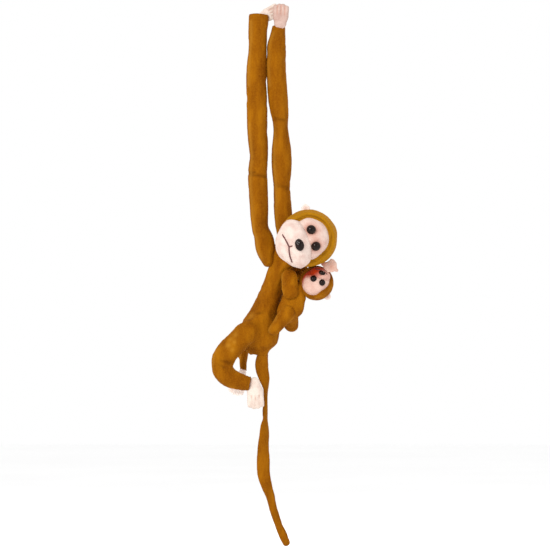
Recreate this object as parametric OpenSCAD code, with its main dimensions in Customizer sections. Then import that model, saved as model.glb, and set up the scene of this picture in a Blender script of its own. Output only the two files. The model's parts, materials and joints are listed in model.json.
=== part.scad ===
// A plush monkey that hangs by its clasped hands, with its baby riding on its back.
// Millimetres, +Z up. The origin is the clasp of the hands, where the toy is hung.
// Both faces look along -Y, so "near" is the -Y side and "far" is the +Y side;
// "left" and "right" are as seen from the -Y side.

/* [Arms] */
// Distance from the wrist line down to the elbow line
forearm_len = 238; // [200:1:250]
// Distance from the elbow line down to the shoulder line
upper_arm_len = 110; // [90:1:130]
// Radius of the left arm at the elbow
left_arm_r = 15; // [12:0.5:15]
// Radius of the right arm at the elbow
right_arm_r = 14; // [12:0.5:14]
// Radius of the left arm at the wrist
left_wrist_r = 14.5; // [10:0.5:15]
// Radius of the right arm at the wrist
right_wrist_r = 12.5; // [10:0.5:13]

/* [Hands and feet] */
// Length of a hand
hand_len = 39; // [36:1:42]
// Width of a hand across its four fingers
hand_w = 20; // [18:1:22]
// Thickness of a hand
hand_t = 9; // [7:0.5:9]
// Length of a foot
foot_len = 44; // [38:1:48]
// Width of a foot across its four toes
foot_w = 23; // [20:1:24]
// Thickness of a foot
foot_t = 13; // [10:0.5:14]

/* [Body] */
// Radius of the trunk at the chest
chest_r = 20; // [19:0.5:22]
// Radius of the trunk at the waist
waist_r = 24; // [21:0.5:24.5]
// Radius of the rump
rump_r = 28; // [25:0.5:28.5]

/* [Legs] */
// Radius of a thigh at the hip
thigh_r = 16.5; // [14:0.5:17]
// Radius of a leg at the knee
knee_r = 14; // [12:0.5:14.5]
// Radius of a leg at the ankle
ankle_r = 11; // [9:0.5:12]

/* [Tail] */
// Radius of the tail where it leaves the rump
tail_root_r = 6.5; // [5:0.5:6.5]
// Radius of the tail along its lower half
tail_r = 5.5; // [4:0.5:6]

/* [Heads] */
// Radius of the monkey's head
head_r = 43; // [40:0.5:43.5]
// Radius of the baby's head
baby_head_r = 26.5; // [24:0.5:26.5]

/* [Baby] */
// Radius of the baby's body at its shoulders
baby_chest_r = 16; // [14:0.5:16.5]
// Radius of the baby's body at its seat
baby_seat_r = 17; // [15:0.5:17.5]
// Radius of the baby's arms
baby_arm_r = 9.5; // [8:0.5:10]
// Radius of the baby's legs
baby_leg_r = 9.5; // [8:0.5:10]

/* [Plush] */
// Thickness of the plush cloth and its backing
cloth_t = 2.2; // [1.5:0.1:2.5]

/* [Hidden] */
$fn = 48;

XZ = [0, 2];
YZ = [1, 2];

gap = 0.3;        // between a plush skin and its filling
joint_gap = 0.6;  // between a ball end and the socket it turns in
seat = 0.985;     // a tube is this much slimmer than the balls at its ends

// Arm lines: every arm joint turns about a line along X at one of these heights
wrist_z = -24;
elbow_z = wrist_z - forearm_len;
shoulder_z = elbow_z - upper_arm_len;
wrist_left = [-26, 0, wrist_z];
wrist_right = [4, 0, wrist_z];
elbow_left = [-26.5, 0, elbow_z];
elbow_right = [10, 0, elbow_z];
shoulder_left = [-18, 0, shoulder_z];
shoulder_right = [14.5, 0, shoulder_z];
elbow_bend = 60;  // how far an elbow folds
elbow_relief = left_arm_r * sin(elbow_bend) + 1;

// Points of the body, all measured from the middle of the shoulder line
s = [0, 0, shoulder_z];
chest = s + [8.5, 4, -26];
waist = s + [-24, 4, -113];
rump = s + [-20, 4, -125];
neck_low = s + [12, -10, -30];
neck_high = s + [26, -28, -4];
neck_r = 8.5;
head = s + [50.9, -44, 20.8];
head_turn = 74.3;  // the head lies on its side by this much

hip_near = s + [-46, -21, -127];
knee_near = s + [-81, -21, -174];
ankle_near = s + [-41, -21, -202];
foot_near_base = ankle_near + [7, 0, 3];
foot_near_along = [0.3, 0, -0.95];
hip_far = s + [-38, 28.5, -128];
knee_far = s + [-58, 62, -148];
ankle_far = s + [-50, 32, -179];
foot_far_base = ankle_far + [1, 0, 0];
foot_far_along = [-0.32, 0, -0.95];
knee_relief = 19.5;
ankle_relief = 12.5;
ankle_ball_r = 9;

tail_root = s + [-18, 3, -160];
tail_bend = s + [-16, 3, -296];
tail_curl = s + [-15, 3, -355];
tail_tip = s + [17, 3, -455];

baby_head = s + [63.6, -24, -48];
baby_head_turn = 204.8;
baby_chest = s + [34, -20, -56];
baby_seat = s + [19, -20, -92];
baby_shoulder_near = s + [31, -38, -65];
baby_hand_near = s + [16, -32, -30];
baby_shoulder_far = s + [36, -3, -61];
baby_hand_far = s + [37, 16, -31];
baby_hip_near = s + [19, -33, -96];
baby_foot_near = s + [-2, -31, -122];
baby_hip_far = s + [24, -7, -95];
baby_foot_far = s + [28, 14, -114];

plush = [0.60, 0.36, 0.06];
pale = [0.95, 0.88, 0.83];
blush = [0.88, 0.70, 0.64];
fibre = [0.97, 0.97, 0.95];
black = [0.10, 0.06, 0.05];
thread = [0.35, 0.08, 0.08];

// Each head is [ball radius, face opening radius, muzzle centre, muzzle half width, muzzle half height]
big = [head_r, 33, [2.8, -26, -22.8], 38, 27];
small = [baby_head_r, 21, [0, -14, -14.5], 16, 11];
// Each eye is [x, z] on its head, seen from the front with the crown up
big_eyes = [[-11.8, 8.2], [15.5, 8.3]];
small_eyes = [[-8.1, -4.6], [7.1, -4.6]];
eye_r = 7;
small_eye_r = 5;
shank_r = 1.8;
washer_t = 1.7;
nose_at = [6.4, -15.7];
nose_half = [9.3, 6.2];
small_nose_at = [-0.7, -16.5];
small_nose_half = [5.6, 3];
thread_r = 0.8;
thread_taper = 0.8;  // the end of a stitch is this much slimmer than its start
stitch_overlap = 0.5;
mouth_line = [[-16.9, -36.9], [-12.3, -34.8], [-7, -33.2], [-1, -32.3], [4.8, -31.8], [11, -33.4], [17, -34.3],
    [22.6, -34.4], [27.9, -33.7]];
mouth_stem = [[4.7, -27.6], [3.4, -31.6]];
small_mouth = [[-8.5, -19.5], [-4, -20.6], [0, -20.9], [4.5, -20.4], [8.5, -19.2]];

function unit(v) = v / norm(v);
function face_dir(r, at) = unit([at[0], -sqrt(r * r - at[0] * at[0] - at[1] * at[1]), at[1]]);
// A point of the muzzle's surface in front of [x, z], raised by lift
function muzzle_point(h, at, lift) =
    let (a = h[3] + lift, b = h[4] + lift, m = h[2])
    [at[0], m[1] - b * sqrt(1 - pow((at[0] - m[0]) / a, 2) - pow((at[1] - m[2]) / b, 2)), at[1]];

// Turns the children's +Z to point along v
module along(v) {
    u = unit(v);
    rotate([0, acos(u[2]), atan2(u[1], u[0])]) children();
}

// A round tube from a to b
module tube(a, b, ra, rb) {
    translate(a) along(b - a) cylinder(r1 = ra, r2 = rb, h = norm(b - a));
}

// A stuffed limb: a tube with a ball at each end
module limb(a, b, ra, rb) {
    translate(a) sphere(ra);
    translate(b) sphere(rb);
    tube(a, b, ra * seat, rb * seat);
}

// The room that a limb of radius r takes as it turns about an axis through its ball at a. Flat is the
// plane it turns in, [1, 2] for YZ or [0, 2] for XZ; the limb's slope goes from low to high degrees.
module turning_room(a, b, r, flat, low, high) {
    across = 3 - flat[0] - flat[1];
    from = min(a[across], b[across]) - r;
    to = max(a[across], b[across]) + r;
    reach = norm(b - a);
    outline = concat(
        [for (t = [high + 90:15:low + 270]) r * [cos(t), sin(t)]],
        [r * [cos(low - 90), sin(low - 90)] + reach * [cos(low), sin(low)]],
        [for (t = [low:15:high]) (reach + r) * [cos(t), sin(t)]],
        [r * [cos(high + 90), sin(high + 90)] + reach * [cos(high), sin(high)]]
    );
    if (across == 0)
        translate([from, a[1], a[2]]) rotate([90, 0, 90]) linear_extrude(to - from) polygon(outline);
    else
        translate([a[0], to, a[2]]) rotate([90, 0, 0]) linear_extrude(to - from) polygon(outline);
}

// A limb's piece from the ball at a down to a socket that stops short of the next joint at b
module segment(a, b, ra, rb, inset, socket_r, relief) {
    stop = b - unit(b - a) * (relief + inset);
    difference() {
        union() {
            translate(a) sphere(ra - inset);
            tube(a, stop, (ra - inset) * seat, (rb - inset) * seat);
        }
        translate(b) sphere(socket_r + joint_gap + inset);
    }
}

module skin_of_segment(a, b, ra, rb, socket_r, relief) {
    difference() {
        segment(a, b, ra, rb, 0, socket_r, relief);
        segment(a, b, ra, rb, cloth_t, socket_r, relief);
    }
}

module filling_of_segment(a, b, ra, rb, socket_r, relief) {
    segment(a, b, ra, rb, cloth_t + gap, socket_r, relief);
}

module skin_of_limb(a, b, ra, rb) {
    difference() {
        limb(a, b, ra, rb);
        limb(a, b, ra - cloth_t, rb - cloth_t);
    }
}

module filling_of_limb(a, b, ra, rb) {
    limb(a, b, ra - cloth_t - gap, rb - cloth_t - gap);
}

// A flat hand or foot: a palm with four digits, from its base at the origin up along +Z
module mitt(length, width, thickness) {
    digit_r = width / 8 + 0.3;
    pitch = (width - 2 * digit_r) / 3;
    palm_z = length * 0.42;
    rotate([90, 0, 0]) linear_extrude(thickness, center = true) {
        translate([0, palm_z]) circle(width * 0.48);
        polygon([[-width * 0.33, 0], [width * 0.33, 0], [width * 0.46, palm_z], [-width * 0.46, palm_z]]);
        for (i = [0:3]) {
            reach = length - digit_r - 2.5 * abs(i - 1.5);
            translate([(i - 1.5) * pitch, 0]) {
                translate([0, reach]) circle(digit_r);
                translate([-digit_r, palm_z]) square([2 * digit_r, reach - palm_z]);
            }
        }
    }
}

// Hands and their clasp

module hand_left() color(blush) difference() {
    translate([-25, hand_t / 2 + 1, -10]) rotate([0, 62, 0]) mitt(hand_len, hand_w, hand_t);
    translate(wrist_left) sphere(left_wrist_r + joint_gap);
}

module hand_right() color(blush) difference() {
    translate([8, -hand_t / 2 - 1, -22]) rotate([0, 6, 0]) mitt(hand_len, hand_w, hand_t);
    translate(wrist_right) sphere(right_wrist_r + joint_gap);
}

module clasp_patch(y) {
    translate([5.5, y, 3]) rotate([-90, 0, 0]) cylinder(r = 4.5, h = 1);
}

module hook_patch() color("white") clasp_patch(0);

module loop_patch() color("gainsboro") clasp_patch(-1);

// Arms

module forearm_left_plush() color(plush)
    skin_of_segment(wrist_left, elbow_left, left_wrist_r, left_arm_r, left_arm_r, elbow_relief);

module forearm_left_filling() color(fibre)
    filling_of_segment(wrist_left, elbow_left, left_wrist_r, left_arm_r, left_arm_r, elbow_relief);

module forearm_right_plush() color(plush)
    skin_of_segment(wrist_right, elbow_right, right_wrist_r, right_arm_r, right_arm_r, elbow_relief);

module forearm_right_filling() color(fibre)
    filling_of_segment(wrist_right, elbow_right, right_wrist_r, right_arm_r, right_arm_r, elbow_relief);

module upper_arm_left_plush() color(plush) skin_of_limb(elbow_left, shoulder_left, left_arm_r, left_arm_r);

module upper_arm_left_filling() color(fibre) filling_of_limb(elbow_left, shoulder_left, left_arm_r, left_arm_r);

module upper_arm_right_plush() color(plush) skin_of_limb(elbow_right, shoulder_right, right_arm_r, right_arm_r);

module upper_arm_right_filling() color(fibre) filling_of_limb(elbow_right, shoulder_right, right_arm_r, right_arm_r);

// Trunk: chest, waist, rump and neck, with room for the arms, the thighs, the tail and the head

module trunk(inset) {
    room = joint_gap + inset;
    difference() {
        union() {
            limb(chest, waist, chest_r - inset, waist_r - inset);
            translate(rump) sphere(rump_r - inset);
            tube(neck_low, neck_high, neck_r - inset, neck_r - inset);
        }
        turning_room(shoulder_left, elbow_left, left_arm_r + room, YZ, 50, 90);
        turning_room(shoulder_right, elbow_right, right_arm_r + room, YZ, 50, 90);
        turning_room(hip_near, knee_near, thigh_r + room, XZ, -174, -78);
        turning_room(hip_far, knee_far, thigh_r + room, XZ, -165, -105);
        translate(head) sphere(head_r + room);
    }
}

module trunk_plush() color(plush) difference() {
    trunk(0);
    trunk(cloth_t);
}

module trunk_filling() color(fibre) trunk(cloth_t + gap);

// Heads. Each is drawn upright about its own centre, face to -Y, and then laid over.

module in_head() {
    translate(head) rotate([0, head_turn, 0]) children();
}

module in_baby_head() {
    translate(baby_head) rotate([0, baby_head_turn, 0]) children();
}

// The cylinder in front of the head that the face panel fills
module face_opening(h, clearance) {
    rotate([90, 0, 0]) cylinder(r = h[1] - clearance, h = h[0] + 1);
}

// A quarter turn and more of an arc of radius r, from where it meets the face opening round to the back
function hood_arc(h, r) = let (edge = asin(h[1] / r))
    [for (i = [0:20]) let (t = edge + (180 - edge) * i / 20) r * [sin(t), cos(t)]];

// A hollow ball turned about Y, open in front for the face panel
module hood(h) rotate([90, 0, 0]) rotate_extrude()
    polygon(concat(hood_arc(h, h[0]), [for (i = [20:-1:0]) hood_arc(h, h[0] - cloth_t)[i]]));

module panel(h, eyes) difference() {
    intersection() {
        sphere(h[0]);
        face_opening(h, 0.2);
    }
    sphere(h[0] - cloth_t);
    for (e = eyes) along(face_dir(h[0], e)) cylinder(r = shank_r + 0.2, h = h[0] + 1);
}

module head_core(h, eyes, washer_r) difference() {
    sphere(h[0] - cloth_t - gap);
    for (e = eyes) along(face_dir(h[0], e))
        translate([0, 0, h[0] - 7]) cylinder(r = washer_r + 0.4, h = 8);
}

module muzzle_body(h, inset) {
    translate(h[2]) rotate([0, 90, 0]) rotate_extrude()
        polygon([for (t = [0:7.5:180]) [(h[4] - inset) * sin(t), (h[3] - inset) * cos(t)]]);
}

module muzzle_bulge(h) difference() {
    muzzle_body(h, 0);
    sphere(h[0] + gap);
}

module eye(h, at, r) along(face_dir(h[0], at)) {
    difference() {
        translate([0, 0, h[0] - r * 0.25]) sphere(r);
        sphere(h[0] + 0.2);
    }
    translate([0, 0, h[0] - 6.5]) cylinder(r = shank_r, h = 8);
}

module washer(h, at, r) along(face_dir(h[0], at))
    translate([0, 0, h[0] - cloth_t - 3.1]) difference() {
        cylinder(r = r, h = washer_t);
        translate([0, 0, -1]) cylinder(r = shank_r + 0.2, h = washer_t + 2);
    }

module nose_button(h, at, half) difference() {
    translate(muzzle_point(h, at, -1.5)) rotate([0, 90, 0]) rotate_extrude()
        polygon([for (t = [0:15:180]) [half[1] * sin(t), half[0] * cos(t)]]);
    muzzle_body(h, -0.2);
}

// Mouth stitching: short straight stitches that lie on the muzzle. Each one tapers to where the next
// begins, and starts a little before that
module stitches(h, points) {
    at = [for (p = points) muzzle_point(h, p, thread_r + 0.4)];
    for (i = [1:len(at) - 1]) {
        back = i > 1 ? stitch_overlap * unit(at[i - 1] - at[i]) : [0, 0, 0];
        tube(at[i - 1] + back, at[i], thread_r, thread_r * thread_taper);
    }
}

module ear_disc(h, at, r, thickness) difference() {
    translate([at[0], 0, at[1]]) rotate([90, 0, 0]) difference() {
        cylinder(r = r, h = thickness, center = true);
        translate([0, 0, thickness / 2 - 1.5]) cylinder(r = r * 0.68, h = 2);
    }
    sphere(h[0] + gap);
}

module head_hood() color(plush) in_head() hood(big);

module face_panel() color(pale) in_head() panel(big, big_eyes);

module muzzle() color(pale) in_head() difference() {
    muzzle_bulge(big);
    translate(muzzle_point(big, nose_at, -8)) rotate([90, 0, 0]) {
        cylinder(r = 6.5, h = 2.6, center = true);
        translate([0, 0, -2]) cylinder(r = shank_r + 0.2, h = 20);
    }
}

module head_filling() color(fibre) in_head() head_core(big, big_eyes, 6);

module ear_left() color(blush) in_head() ear_disc(big, [-45, 10], 9, 5);

module ear_right() color(blush) in_head() ear_disc(big, [50.5, 23], 9, 4);

module eye_left() color(black) in_head() eye(big, big_eyes[0], eye_r);

module eye_right() color(black) in_head() eye(big, big_eyes[1], eye_r);

module eye_washer_left() color("white") in_head() washer(big, big_eyes[0], 6);

module eye_washer_right() color("white") in_head() washer(big, big_eyes[1], 6);

module nose() color(black) in_head() {
    nose_button(big, nose_at, nose_half);
    translate(muzzle_point(big, nose_at, -9.5)) rotate([90, 0, 0]) cylinder(r = shank_r, h = 11);
}

module nose_washer() color("white") in_head()
    translate(muzzle_point(big, nose_at, -8)) rotate([90, 0, 0]) difference() {
        cylinder(r = 6, h = washer_t, center = true);
        cylinder(r = shank_r + 0.2, h = washer_t + 2, center = true);
    }

module mouth_thread() color(thread) in_head() {
    stitches(big, mouth_line);
    stitches(big, mouth_stem);
}

// Legs

module thigh_near_plush() color(plush)
    skin_of_segment(hip_near, knee_near, thigh_r, knee_r, knee_r, knee_relief);

module thigh_near_filling() color(fibre)
    filling_of_segment(hip_near, knee_near, thigh_r, knee_r, knee_r, knee_relief);

module shin_near_plush() color(plush)
    skin_of_segment(knee_near, ankle_near, knee_r, ankle_r, ankle_ball_r, ankle_relief);

module shin_near_filling() color(fibre)
    filling_of_segment(knee_near, ankle_near, knee_r, ankle_r, ankle_ball_r, ankle_relief);

module foot_near() color(pale)
    translate(foot_near_base) along(foot_near_along) mitt(foot_len, foot_w, foot_t);

module thigh_far_plush() color(plush)
    skin_of_segment(hip_far, knee_far, thigh_r, knee_r, knee_r, knee_relief);

module thigh_far_filling() color(fibre)
    filling_of_segment(hip_far, knee_far, thigh_r, knee_r, knee_r, knee_relief);

module shin_far_plush() color(plush)
    skin_of_segment(knee_far, ankle_far, knee_r, ankle_r, ankle_ball_r, ankle_relief);

module shin_far_filling() color(fibre)
    filling_of_segment(knee_far, ankle_far, knee_r, ankle_r, ankle_ball_r, ankle_relief);

module foot_far() color(pale)
    translate(foot_far_base) along(foot_far_along) mitt(foot_len, foot_w, foot_t);

// Tail

module tail_upper() color(plush)
    segment(tail_root, tail_bend, tail_root_r, tail_r, 0, tail_r, 4.5);

module tail_lower() color(plush) {
    limb(tail_bend, tail_curl, tail_r, tail_r);
    limb(tail_curl, tail_tip, tail_r, tail_r);
}

// Baby

module baby_trunk(inset) {
    room = joint_gap + inset;
    difference() {
        limb(baby_chest, baby_seat, baby_chest_r - inset, baby_seat_r - inset);
        translate(baby_head) sphere(baby_head_r + room);
        turning_room(baby_shoulder_near, baby_hand_near, baby_arm_r + room, YZ, 80, 130);
        turning_room(baby_shoulder_far, baby_hand_far, baby_arm_r + room, YZ, 8, 58);
        turning_room(baby_hip_near, baby_foot_near, baby_leg_r + room, YZ, -126, -86);
        turning_room(baby_hip_far, baby_foot_far, baby_leg_r + room, YZ, -42, -2);
    }
}

module baby_trunk_plush() color(plush) difference() {
    baby_trunk(0);
    baby_trunk(cloth_t);
}

module baby_trunk_filling() color(fibre) baby_trunk(cloth_t + gap);

module baby_hood() color(plush) in_baby_head() hood(small);

module baby_face_panel() color(blush) in_baby_head() panel(small, small_eyes);

module baby_muzzle() color(pale) in_baby_head() muzzle_bulge(small);

module baby_head_filling() color(fibre) in_baby_head() head_core(small, small_eyes, 4);

module baby_ear_left() color(blush) in_baby_head() ear_disc(small, [-26, 12], 6.5, 4);

// This ear is folded flat against the back of the head, behind the baby's own shoulder
module baby_ear_right() color(blush)
    translate(baby_head) along([-0.35, 0.9, 0.25]) translate([0, 0, baby_head_r - 0.4]) difference() {
        cylinder(r = 6.5, h = 3.4);
        translate([0, 0, 0.4 - baby_head_r]) sphere(baby_head_r + gap);
    }

module baby_eye_left() color(black) in_baby_head() eye(small, small_eyes[0], small_eye_r);

module baby_eye_right() color(black) in_baby_head() eye(small, small_eyes[1], small_eye_r);

module baby_eye_washer_left() color("white") in_baby_head() washer(small, small_eyes[0], 4);

module baby_eye_washer_right() color("white") in_baby_head() washer(small, small_eyes[1], 4);

module baby_nose() color(black) in_baby_head() nose_button(small, small_nose_at, small_nose_half);

module baby_mouth_thread() color(thread) in_baby_head() stitches(small, small_mouth);

module baby_arm_near() color(plush) limb(baby_shoulder_near, baby_hand_near, baby_arm_r, baby_arm_r - 1);

module baby_arm_far() color(plush) limb(baby_shoulder_far, baby_hand_far, baby_arm_r - 1, baby_arm_r - 1);

module baby_leg_near() color(plush) limb(baby_hip_near, baby_foot_near, baby_leg_r, baby_leg_r - 1);

module baby_leg_far() color(plush) limb(baby_hip_far, baby_foot_far, baby_leg_r, baby_leg_r - 1);

hand_left();
hand_right();
hook_patch();
loop_patch();
forearm_left_plush();
forearm_left_filling();
forearm_right_plush();
forearm_right_filling();
upper_arm_left_plush();
upper_arm_left_filling();
upper_arm_right_plush();
upper_arm_right_filling();
trunk_plush();
trunk_filling();
head_hood();
face_panel();
muzzle();
head_filling();
ear_left();
ear_right();
eye_left();
eye_right();
eye_washer_left();
eye_washer_right();
nose();
nose_washer();
mouth_thread();
thigh_near_plush();
thigh_near_filling();
shin_near_plush();
shin_near_filling();
foot_near();
thigh_far_plush();
thigh_far_filling();
shin_far_plush();
shin_far_filling();
foot_far();
tail_upper();
tail_lower();
baby_trunk_plush();
baby_trunk_filling();
baby_hood();
baby_face_panel();
baby_muzzle();
baby_head_filling();
baby_ear_left();
baby_ear_right();
baby_eye_left();
baby_eye_right();
baby_eye_washer_left();
baby_eye_washer_right();
baby_nose();
baby_mouth_thread();
baby_arm_near();
baby_arm_far();
baby_leg_near();
baby_leg_far();
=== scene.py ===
"""The looks of a hanging plush monkey and its baby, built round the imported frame.

Everything is in metres in the row frame. The faces look along -Y, so near is the -Y side.
"""

import json
import math

import bmesh
import bpy
import numpy as np
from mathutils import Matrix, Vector, noise


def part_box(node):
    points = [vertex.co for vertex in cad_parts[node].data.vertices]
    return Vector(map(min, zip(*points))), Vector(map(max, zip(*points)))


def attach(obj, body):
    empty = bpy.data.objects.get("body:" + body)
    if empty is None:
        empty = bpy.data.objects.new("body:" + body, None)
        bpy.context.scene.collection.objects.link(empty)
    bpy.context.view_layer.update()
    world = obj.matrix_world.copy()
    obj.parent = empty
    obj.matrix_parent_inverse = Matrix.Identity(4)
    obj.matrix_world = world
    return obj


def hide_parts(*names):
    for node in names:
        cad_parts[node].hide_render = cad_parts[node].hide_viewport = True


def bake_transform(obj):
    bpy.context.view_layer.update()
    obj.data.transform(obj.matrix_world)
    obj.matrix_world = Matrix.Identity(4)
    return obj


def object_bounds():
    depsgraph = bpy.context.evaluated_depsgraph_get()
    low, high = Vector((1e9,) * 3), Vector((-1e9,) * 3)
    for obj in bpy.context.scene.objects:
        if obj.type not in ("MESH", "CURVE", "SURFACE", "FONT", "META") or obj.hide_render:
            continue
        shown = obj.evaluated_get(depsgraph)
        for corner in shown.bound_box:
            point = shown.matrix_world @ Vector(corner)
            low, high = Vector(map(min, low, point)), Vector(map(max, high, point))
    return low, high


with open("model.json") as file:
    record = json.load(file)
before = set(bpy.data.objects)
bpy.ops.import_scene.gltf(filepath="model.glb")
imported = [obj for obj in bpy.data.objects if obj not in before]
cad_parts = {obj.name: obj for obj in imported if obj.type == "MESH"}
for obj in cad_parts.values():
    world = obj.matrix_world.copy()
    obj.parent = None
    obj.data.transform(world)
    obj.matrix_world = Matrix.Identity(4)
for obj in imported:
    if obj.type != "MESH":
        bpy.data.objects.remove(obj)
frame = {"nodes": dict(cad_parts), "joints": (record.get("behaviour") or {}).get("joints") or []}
cad_box = [list(corner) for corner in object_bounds()]
pivot = {j["name"]: np.array(j["pos_m"]) for j in frame["joints"]}
scene = bpy.context.scene
MM = 0.001
FRONT = np.array([0.0, -1.0, 0.0])
PILE = 0.0003  # how far the fine lumps of the pile rise and fall
PRESSURE = 4.0  # of the stuffing, in the cloth simulation
STUFFING_FRAMES = 16


def mm(*values):
    return np.array(values, float) * MM


def middle(node):
    low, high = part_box(node)
    return (np.array(low) + np.array(high)) / 2


# ---- mesh helpers


def unit(v):
    return np.array(v, float) / np.linalg.norm(v)


def smooth(mesh):
    mesh.polygons.foreach_set("use_smooth", [True] * len(mesh.polygons))


def new_object(name, points, faces, material):
    mesh = bpy.data.meshes.new(name)
    mesh.from_pydata([tuple(p) for p in points], [], [tuple(int(i) for i in f) for f in faces])
    obj = bpy.data.objects.new(name, mesh)
    scene.collection.objects.link(obj)
    mesh.materials.append(material)
    work = bmesh.new()
    work.from_mesh(mesh)
    bmesh.ops.recalc_face_normals(work, faces=work.faces)
    work.to_mesh(mesh)
    work.free()
    smooth(mesh)
    return obj


def vectors(items, key):
    values = np.empty(len(items) * 3)
    items.foreach_get(key, values)
    return values.reshape(-1, 3)


def points_of(obj):
    return vectors(obj.data.vertices, "co")


def move_points(obj, co):
    obj.data.vertices.foreach_set("co", np.asarray(co, float).ravel())
    obj.data.update()


def normals_of(obj):
    return vectors(obj.data.vertex_normals, "vector")


def bake(obj):
    """Puts what the modifiers make into the mesh itself."""
    depsgraph = bpy.context.evaluated_depsgraph_get()
    made = bpy.data.meshes.new_from_object(obj.evaluated_get(depsgraph))
    obj.modifiers.clear()
    obj.data = made
    smooth(made)


def subdivide(obj, levels=1):
    obj.modifiers.new("subdivision", "SUBSURF").levels = levels
    bake(obj)


def remesh(obj, voxel):
    modifier = obj.modifiers.new("remesh", "REMESH")
    modifier.mode = "VOXEL"
    modifier.voxel_size = voxel
    bake(obj)


def relax(obj, steps):
    """Evens the surface: each point moves halfway to the mean of its neighbours."""
    edges = np.empty(len(obj.data.edges) * 2, int)
    obj.data.edges.foreach_get("vertices", edges)
    a, b = edges.reshape(-1, 2).T
    co = points_of(obj)
    count = np.bincount(np.r_[a, b], minlength=len(co))[:, None]
    for _ in range(steps):
        total = np.zeros_like(co)
        np.add.at(total, a, co[b])
        np.add.at(total, b, co[a])
        co += 0.5 * (total / np.maximum(count, 1) - co)
    move_points(obj, co)


def paint(obj, name, values):
    """Raises a float attribute of the mesh's points to the given values."""
    layer = obj.data.attributes.get(name) or obj.data.attributes.new(name, "FLOAT", "POINT")
    old = np.zeros(len(obj.data.vertices))
    layer.data.foreach_get("value", old)
    layer.data.foreach_set("value", np.clip(np.maximum(old, values), 0, 1))


def near_path(co, path):
    """Each point's distance to the nearest stretch of a path."""
    best = np.full(len(co), 1e9)
    path = np.array(path, float)
    for a, b in zip(path[:-1], path[1:]):
        d = b - a
        t = np.clip(((co - a) @ d) / max(d @ d, 1e-12), 0, 1)
        best = np.minimum(best, np.linalg.norm(co - a - t[:, None] * d, axis=1))
    return best


def press(obj, path, depth, width, shade_share=0.8):
    """Presses a groove along a path into the skin and paints shade into it; a negative depth raises a
    ridge.
    """
    co = points_of(obj)
    pull = np.exp(-((near_path(co, path) / width) ** 2))
    move_points(obj, co - normals_of(obj) * (depth * pull)[:, None])
    # painted shade in the groove, kept in the crease attribute
    if shade_share:
        paint(obj, "crease", shade_share * pull)


def lumps(obj, height, size, seed=0, stretch=(1, 1, 1)):
    """Raises and lowers the skin by smooth noise; size is how wide a lump is."""
    co = points_of(obj)
    at = co / (size * np.array(stretch)) + 7.3 * seed
    rise = np.array([noise.noise(Vector(p)) for p in at])
    move_points(obj, co + normals_of(obj) * (height * rise)[:, None])


def smooth_rows(knots, step):
    """Rows evenly spaced along a smooth curve through the knots' rows."""
    rows = np.array(knots, float)
    ends = np.vstack([2 * rows[0] - rows[1], rows, 2 * rows[-1] - rows[-2]])
    dense = []
    for s in np.linspace(0, len(rows) - 1, 40 * len(rows)):
        i = min(int(s), len(rows) - 2)
        f = s - i
        a, b, c, d = ends[i : i + 4]
        square, cube = 2 * a - 5 * b + 4 * c - d, 3 * b - a - 3 * c + d
        dense.append(0.5 * (2 * b + (c - a) * f + square * f**2 + cube * f**3))
    dense = np.array(dense)
    run = np.r_[0, np.cumsum(np.linalg.norm(np.diff(dense[:, :3], axis=0), axis=1))]
    even = np.linspace(0, run[-1], max(3, int(run[-1] / step)))
    return np.array([np.interp(even, run, column) for column in dense.T]).T


def domed(rows, first, last, steps=5, blunt=1.0):
    """Rows with a dome of the given length added at each end; None leaves that end cut straight."""

    def dome(end, inner, length):
        if length is None:
            return []
        out = unit(end[:3] - inner[:3])
        made = []
        for k in range(1, steps + 1):
            turn = math.pi / 2 * k / steps
            row = end.copy()
            row[:3] += out * length * math.sin(turn)
            row[3:5] *= max(math.cos(turn), 0.0) ** blunt if k < steps else 0
            made.append(row)
        return made

    return np.array(dome(rows[0], rows[1], first)[::-1] + list(rows) + dome(rows[-1], rows[-2], last))


def ring_faces(rings, sides):
    """The faces between rings of points; a ring of one point is a pole."""
    faces = []
    for a, b in zip(rings[:-1], rings[1:]):
        for k in range(sides):
            n = (k + 1) % sides
            if len(a) == 1:
                faces.append((a[0], b[k], b[n]))
            elif len(b) == 1:
                faces.append((a[k], a[n], b[0]))
            else:
                faces.append((a[k], a[n], b[n], b[k]))
    return faces


def tube(rows, sides=24, depth=(0, 1, 0)):
    """A closed skin round a centreline. A row is x, y, z, half width, half depth and twist."""
    rows = np.array(rows, float)
    centre = rows[:, :3]
    forward = np.gradient(centre, axis=0)
    forward /= np.linalg.norm(forward, axis=1)[:, None]
    across = np.cross(forward, np.array(depth, float))
    across /= np.linalg.norm(across, axis=1)[:, None]
    deep = np.cross(across, forward)
    points, rings = [], []
    for c, w, d, row in zip(centre, across, deep, rows):
        if row[3] < 1e-7:
            rings.append([len(points)])
            points.append(c)
            continue
        cos, sin = math.cos(row[5]), math.sin(row[5])
        wide, thick = w * cos + d * sin, d * cos - w * sin
        rings.append(list(range(len(points), len(points) + sides)))
        for k in range(sides):
            t = 2 * math.pi * k / sides
            points.append(c + wide * row[3] * math.cos(t) + thick * row[4] * math.sin(t))
    faces = ring_faces(rings, sides)
    for ring, at in ((rings[0], centre[0]), (rings[-1], centre[-1])):
        if len(ring) > 1:
            points.append(at)
            faces += [(ring[k], ring[(k + 1) % sides], len(points) - 1) for k in range(sides)]
    return np.array(points), faces


def capsule(a, b, ra, rb, flat=1.0, sides=20, depth=(0, 1, 0)):
    """A round-ended limb from a to b; flat thins it along depth."""
    a, b = np.array(a, float), np.array(b, float)
    rows = []
    for t in (0, 0.33, 0.67, 1):
        radius = ra + (rb - ra) * t
        rows.append(np.r_[a + (b - a) * t, [radius, radius * flat, 0]])
    return tube(domed(np.array(rows), ra, rb, 6), sides, depth)


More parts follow.
